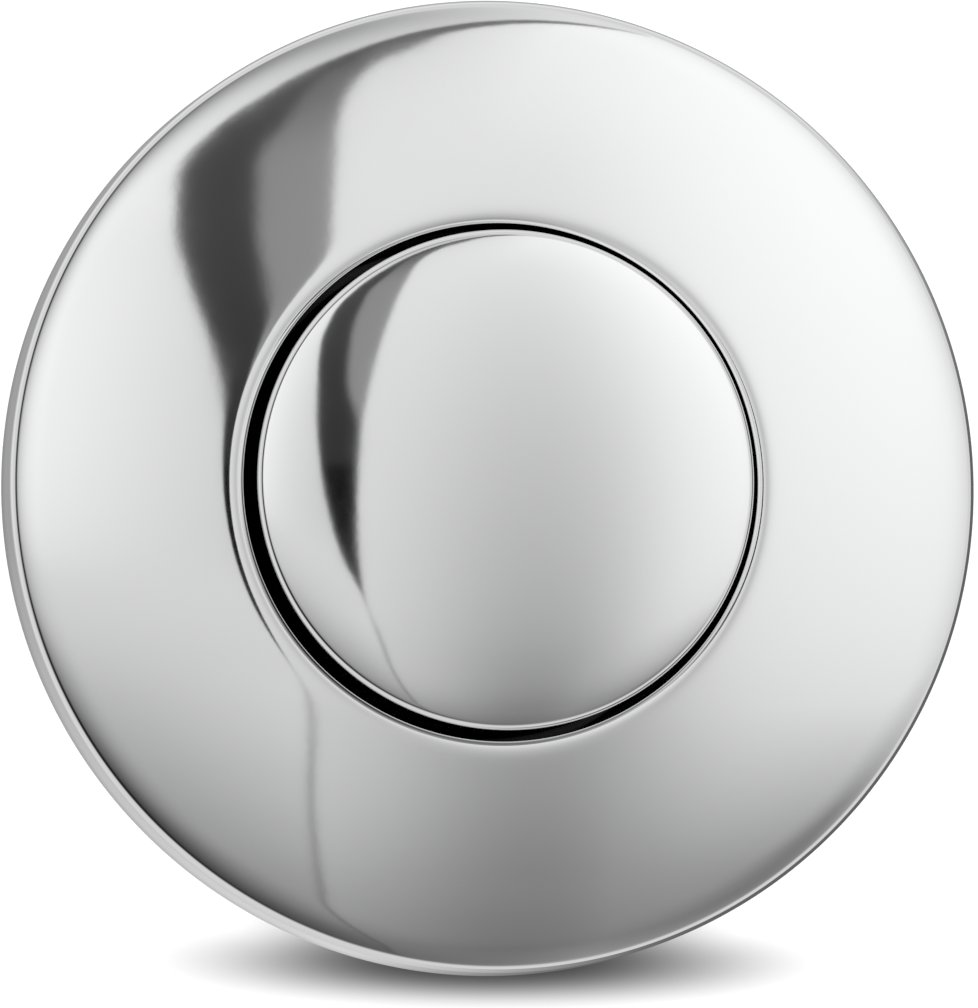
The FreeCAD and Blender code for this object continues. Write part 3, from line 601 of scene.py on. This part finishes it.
def along_q(*points):
    """A curve through (q, amount) points."""
    curve = add(tree, "ShaderNodeFloatCurve", {"Value": add(tree, "ShaderNodeMapRange", {
        "Value": q, "From Min": points[0][0], "From Max": points[-1][0]}).outputs["Result"]})
    amounts = [amount for _, amount in points]
    low, high = min(amounts), max(amounts)
    line = curve.mapping.curves[0].points
    span = points[-1][0] - points[0][0]
    for number, (height, amount) in enumerate(points):
        at = (height - points[0][0]) / span, (amount - low) / (high - low)
        if number in (0, len(points) - 1):
            line[0 if number == 0 else -1].location = at
        else:
            line.new(*at)
    curve.mapping.update()
    return add(tree, "ShaderNodeMapRange", {
        "Value": curve.outputs["Value"], "To Min": low, "To Max": high}).outputs["Result"]


direction = add(tree, "ShaderNodeTexCoord").outputs["Generated"]


def toward(axis):
    """How far the direction looked in goes along an axis."""
    return add(tree, "ShaderNodeVectorMath", {0: direction, 1: tuple(axis)},
               operation="DOT_PRODUCT").outputs["Value"]


depth = calc("MAXIMUM", calc("ADD", toward(to_camera), 1.0), 0.05)
p = calc("DIVIDE", toward(image_right), depth)
q = calc("DIVIDE", toward(image_up), depth)


def between(low, socket, high):
    """An amount held between two limits."""
    return calc("MINIMUM", calc("MAXIMUM", socket, low), high)


def plus_product(base, *factors):
    """A base plus the product of some amounts."""
    product = factors[0]
    for factor in factors[1:]:
        product = calc("MULTIPLY", product, factor)
    return calc("ADD", base, product)


def bump_at(place, middle, width):
    """1 in the middle and less to both sides, as the bell curve of a width."""
    off = calc("DIVIDE", calc("SUBTRACT", place, middle), width)
    return calc("EXPONENT", calc("MULTIPLY", calc("MULTIPLY", off, off), -0.5))


# The right soft box is brighter to the right, with a dim seam that deepens downwards.
seam_middle, seam_width = 0.168, 0.066
right_tone = along_q(
    (-0.9, 0.74), (-0.6, 0.64), (-0.4, 0.56), (-0.3, 0.54), (-0.25, 0.58), (-0.2, 0.66),
    (-0.16, 0.735), (-0.12, 0.78), (-0.08, 0.805), (0.0, 0.845), (0.16, 0.878), (0.36, 0.9),
    (0.9, 0.95))
right_tone = plus_product(right_tone, between(0.0, calc("SUBTRACT", p, 0.05), 0.4),
                          plus_product(0.2, between(-0.2, q, 0.4), 0.35))
seam_depth = along_q(
    (-0.9, 0.0), (-0.35, 0.05), (-0.25, 0.14), (-0.2, 0.17), (-0.14, 0.21), (-0.06, 0.19),
    (0.0, 0.17), (0.08, 0.134), (0.16, 0.09), (0.28, 0.045), (0.4, 0.01), (0.9, 0.0))
seam = calc("MULTIPLY", bump_at(p, seam_middle, seam_width), seam_depth)
right_tone = calc("SUBTRACT", right_tone, seam)
right_tone = plus_product(right_tone, between(0.0, calc("SUBTRACT", p, 0.22), 0.2),
                          between(-0.12, calc("ADD", q, 0.08), 0.0), 11.0)

# The left soft box is brighter outwards where it is high, and dimmer outwards where it is low.
left_tone = along_q(
    (-0.9, 0.74), (-0.6, 0.64), (-0.4, 0.52), (-0.3, 0.42), (-0.25, 0.44), (-0.16, 0.58),
    (-0.12, 0.66), (-0.08, 0.735), (-0.04, 0.795), (0.0, 0.828), (0.08, 0.862), (0.16, 0.882),
    (0.22, 0.9), (0.3, 0.955), (0.9, 0.97))
left_lean = along_q(
    (-0.9, 0.0), (-0.3, -0.6), (-0.16, -1.1), (-0.12, -0.95), (-0.08, -0.75), (-0.04, -0.26),
    (0.0, 0.04), (0.08, 0.9), (0.3, 1.0), (0.9, 0.0))
left_tone = plus_product(left_tone, between(-0.1, calc("SUBTRACT", -0.08, p), 0.09), left_lean)

# Between them is a dark gap, with a grey screen in its right part and a black curtain at its foot.
gap_left = along_q(
    (-0.3, 0.05), (-0.2, 0.025), (-0.14, 0.018), (-0.08, 0.018), (-0.035, 0.0125), (0.0, -0.003),
    (0.06, -0.02), (0.12, -0.036), (0.16, -0.047), (0.2, -0.061), (0.235, -0.07), (0.27, -0.07),
    (0.3, -0.052), (0.33, -0.015), (0.36, 0.03), (0.5, 0.3))
gap_right = along_q(
    (-0.3, 0.05), (-0.2, 0.026), (-0.14, 0.019), (-0.08, 0.019), (-0.035, 0.0135), (0.0, 0.0155),
    (0.05, 0.02), (0.1, 0.023), (0.15, 0.027), (0.2, 0.03), (0.28, 0.034), (0.32, 0.038),
    (0.35, 0.055), (0.37, 0.09), (0.5, 0.3))
screen_left = along_q(
    (-0.3, 0.3), (0.0, 0.05), (0.11, 0.02), (0.15, 0.0), (0.2, -0.012), (0.235, -0.018),
    (0.28, -0.018), (0.31, 0.0), (0.34, 0.02), (0.36, 0.05), (0.5, 0.2))
curtain_tone, gap_foot_tone, gap_gain = 0.09, 0.2, 0.4
screen_tone, screen_top_tone = 0.54, 0.42
gap_tone = blend_to(step(0.078, q, 0.014), curtain_tone, gap_foot_tone)
gap_tone = plus_product(gap_tone, between(0.0, calc("SUBTRACT", q, 0.1), 0.3), gap_gain)
screen = blend_to(step(0.32, q, 0.08), screen_tone, screen_top_tone)
gap_tone = blend_to(step(screen_left, p, 0.012), gap_tone, screen)
tone = blend_to(step(gap_left, p, 0.008), left_tone, gap_tone)
tone = blend_to(step(gap_right, p, 0.006), tone, right_tone)

# A dark rim goes round the tent's opening, black on the left and fainter towards the right, and
# the tent beyond it is an even light grey.
rim_reach, rim_width, rim_depth, beyond_tone = 0.42, 0.075, 0.8, 0.82
rim_p, rim_q = calc("SUBTRACT", p, 0.02), calc("SUBTRACT", q, 0.06)
outward = calc("SQRT", calc("ADD", calc("MULTIPLY", rim_p, rim_p), calc("MULTIPLY", rim_q, rim_q)))
from_left = calc("DIVIDE", rim_p, calc("MAXIMUM", outward, 0.01))
leftward = between(0.0, calc("DIVIDE", calc("SUBTRACT", 0.45, from_left), 1.25), 1.0)
tone = blend_to(step(0.55, outward, 0.3), tone, beyond_tone)
rim_shade = calc("MULTIPLY", calc("MULTIPLY", bump_at(outward, rim_reach, rim_width), leftward), rim_depth)
tone = calc("MULTIPLY", tone, calc("SUBTRACT", 1.0, rim_shade))

# The tones are those of the picture, so they are made light, and more of it than chrome swallows.
chrome_reflects, display_gamma = 0.87, 2.2
tone = calc("POWER", calc("MAXIMUM", tone, 0.0), display_gamma)
tone = calc("DIVIDE", tone, chrome_reflects)
even_grey = 0.65
path = add(tree, "ShaderNodeLightPath")
shown = blend_to(path.outputs["Is Glossy Ray"], even_grey, tone)
shown = blend_to(path.outputs["Is Camera Ray"], shown, 1.0)
background = add(tree, "ShaderNodeBackground", {"Color": (1, 1, 1, 1), "Strength": shown})
output = add(tree, "ShaderNodeOutputWorld")
tree.links.new(background.outputs["Background"], output.inputs["Surface"])
world.cycles.sampling_method = "NONE"

# Floor: plain white card under the barb, with a soft shadow painted on it, an oval that the camera sees just
# below the rim.
floor_level, floor_reach = cad_low.z, 6.0
floor_mesh = bpy.data.meshes.new("floor")
floor_corners = [(x * floor_reach, y * floor_reach, floor_level)
                 for x, y in ((-1, -1), (1, -1), (1, 1), (-1, 1))]
floor_mesh.from_pydata(floor_corners, [], [(0, 1, 2, 3)])
floor = bpy.data.objects.new("floor", floor_mesh)
bpy.context.scene.collection.objects.link(floor)
card = bpy.data.materials.new("floor_card")
card.use_nodes = True
tree = card.node_tree
tree.nodes.clear()
# Where the painted shadow lies in the camera's picture, how far it spreads and how dark it is.
painted_shadow_pixel = (490.0, 962.0)
painted_shadow_spread = (139.0, 20.0)
painted_shadow_depth = 3.2
painted_shadow_right = (painted_shadow_pixel[0] - photo_width / 2) / photo_scale
painted_shadow_up = (photo_height / 2 - painted_shadow_pixel[1]) / photo_scale
ray_through = (aim + (image_right * painted_shadow_right + image_up * painted_shadow_up) * MM) - camera.location
painted_shadow_centre = camera.location + ray_through * ((floor_level - camera.location.z) / ray_through.z)
floor_scale = photo_scale / MM * distance / (distance + (aim.z - floor_level))
position = add(tree, "ShaderNodeNewGeometry").outputs["Position"]
from_painted_shadow = add(tree, "ShaderNodeVectorMath", {0: position, 1: tuple(painted_shadow_centre)}, operation="SUBTRACT")
spread = add(tree, "ShaderNodeVectorMath", {
    0: from_painted_shadow.outputs["Vector"],
    1: (floor_scale / painted_shadow_spread[0], floor_scale / painted_shadow_spread[1], 0.0)}, operation="MULTIPLY")
far = add(tree, "ShaderNodeVectorMath", {0: spread.outputs["Vector"], 1: spread.outputs["Vector"]},
          operation="DOT_PRODUCT").outputs["Value"]
# Painted shadow: the card's colour and glow grow darker in a soft oval round its centre.
painted_shadow = calc("EXPONENT", calc("MULTIPLY", far, -0.5))
painted_shadow = calc("EXPONENT", calc("MULTIPLY", painted_shadow, -painted_shadow_depth))
path = add(tree, "ShaderNodeLightPath")
# What chrome sees of the card is painted on it: grey close to the part, light further out, and dark
# on the right.
near_tone, far_tone, low_near_gain, low_far_gain, dark_side_tone = 0.6, 0.87, 0.2, -0.06, 0.38
on_floor = add(tree, "ShaderNodeSeparateXYZ", {"Vector": position})
floor_x, floor_y = on_floor.outputs["X"], on_floor.outputs["Y"]
from_axis = calc("SQRT", calc("ADD", calc("MULTIPLY", floor_x, floor_x), calc("MULTIPLY", floor_y, floor_y)))
to_dark_side = calc("SUBTRACT", calc("MULTIPLY", floor_x, 0.92), calc("MULTIPLY", floor_y, 0.4))
rightward = calc("DIVIDE", to_dark_side, from_axis)
downward = calc("DIVIDE", calc("MULTIPLY", floor_y, -1.0), from_axis)
far_out = step(0.12, from_axis, 0.16)
mirrored = blend_to(far_out, near_tone, far_tone)
mirrored = plus_product(mirrored, between(0.0, downward, 1.0),
                        blend_to(far_out, low_near_gain, low_far_gain))
mirrored = blend_to(step(0.6, rightward, 0.6), mirrored, dark_side_tone)
mirrored = calc("DIVIDE", calc("POWER", mirrored, display_gamma), chrome_reflects)
shade_glow, card_white = 0.45, 0.8
glow_level = calc("MULTIPLY", calc("MULTIPLY", path.outputs["Is Camera Ray"], shade_glow), painted_shadow)
glow = add(tree, "ShaderNodeEmission", {
    "Color": (1, 1, 1, 1), "Strength": blend_to(path.outputs["Is Glossy Ray"], glow_level, mirrored)})
level = blend_to(path.outputs["Is Glossy Ray"], calc("MULTIPLY", painted_shadow, card_white), 0.0)
colour = add(tree, "ShaderNodeCombineXYZ", {"X": level, "Y": level, "Z": level})
matt = add(tree, "ShaderNodeBsdfDiffuse", {"Color": colour.outputs["Vector"]})
both = add(tree, "ShaderNodeAddShader", {0: matt.outputs["BSDF"], 1: glow.outputs["Emission"]})
output = add(tree, "ShaderNodeOutputMaterial")
tree.links.new(both.outputs["Shader"], output.inputs["Surface"])
floor_mesh.materials.append(card)

# Lamp: one small soft lamp close to the camera, so that the object's own shadow falls behind it.
lamp = bpy.data.objects.new("lamp", bpy.data.lights.new("lamp", "AREA"))
bpy.context.scene.collection.objects.link(lamp)
lamp.data.shape = "DISK"
lamp_size, lamp_distance, lamp_level = 0.06, 1.2, 0.4
lamp.data.size = lamp_size
lamp.data.energy = lamp_level * 4 * np.pi * lamp_distance ** 2
lamp.location = aim + to_camera * lamp_distance
lamp.rotation_euler = camera.rotation_euler
lamp.visible_glossy = False
lamp.visible_camera = False

view = bpy.context.scene.view_settings
view.view_transform = "Standard"
